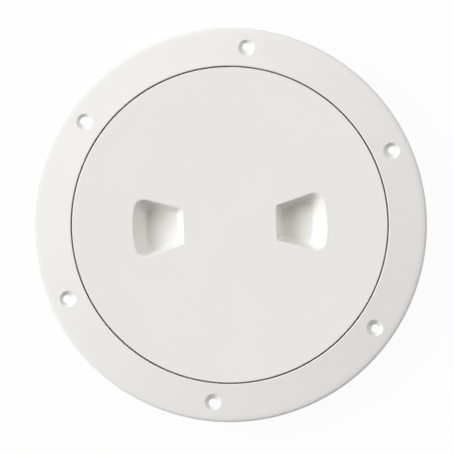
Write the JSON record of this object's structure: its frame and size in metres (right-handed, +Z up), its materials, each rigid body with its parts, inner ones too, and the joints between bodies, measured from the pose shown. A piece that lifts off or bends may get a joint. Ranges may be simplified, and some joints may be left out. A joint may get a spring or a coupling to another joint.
{
  "type": "deck inspection plate",
  "caption": "Round white plastic deck inspection plate: a low flange ring with countersunk screw holes and a flush lid with finger pockets that unscrews.",
  "frame": {"origin": "middle of the deck face, where the flange's underside lies on the deck, on the axis of the ring", "axes": "+Z up out of the deck, along the axis of ring and lid; +X from the axis through a screw hole"},
  "size_m": [0.2032, 0.2032, 0.0236],
  "materials": {
    "white_plastic": "satin moulded",
    "black_rubber": "matt"
  },
  "bodies": {
    "ring": {"deck_ring": "white_plastic"},
    "seal": {"lid_seal": "black_rubber"},
    "lid": {"screw_lid": "white_plastic"}
  },
  "joints": [
    {"name": "lid_lift", "type": "slide", "parent": "ring", "child": "seal", "axis": [0, 0, 1], "range_m": [0, 0.0045]},
    {"name": "lid_turn", "type": "hinge", "parent": "seal", "child": "lid", "pos_m": [0, 0, 0], "axis": [0, 0, 1], "range_deg": [0, 162]}
  ],
  "couplings": [
    {"joint": "lid_lift", "follows": "lid_turn", "m_per_rad": 0.0015915}
  ]
}
